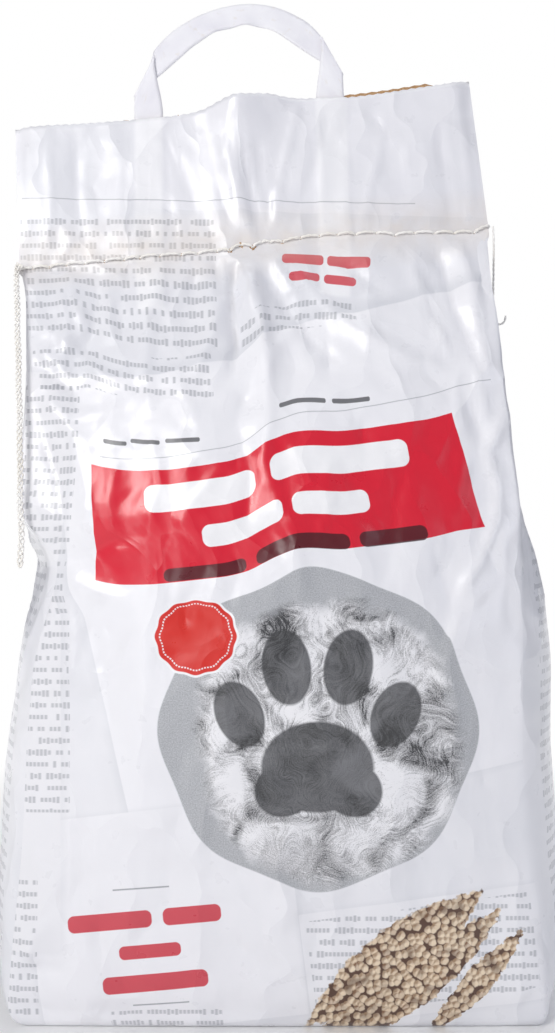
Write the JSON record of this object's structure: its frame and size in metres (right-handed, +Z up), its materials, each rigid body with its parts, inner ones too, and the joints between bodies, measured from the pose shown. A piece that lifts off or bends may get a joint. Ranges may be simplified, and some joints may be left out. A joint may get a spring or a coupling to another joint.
{
  "type": "cat litter bag",
  "caption": "Filled block-bottom paper sack with side gussets, a sewn flat top flap, a flat tape carry handle and loose closing-thread ends.",
  "frame": {"origin": "centre of the flat base, on the surface the bag stands on", "axes": "+Z up along the bag's height, the printed front faces -Y, +X to the right seen from the front"},
  "size_m": [0.297, 0.1376, 0.5522],
  "materials": {
    "sack_paper": "coated white kraft paper, softly glossy, printed in grey and red",
    "handle_tape": "flat bonded white tape, matt",
    "sewing_thread": "twisted off-white cotton"
  },
  "bodies": {
    "root": {"filled_sack": "sack_paper", "carry_handle": "handle_tape", "closing_thread": "sewing_thread", "thread_tail_long": "sewing_thread", "thread_tail_short": "sewing_thread"}
  },
  "joints": []
}
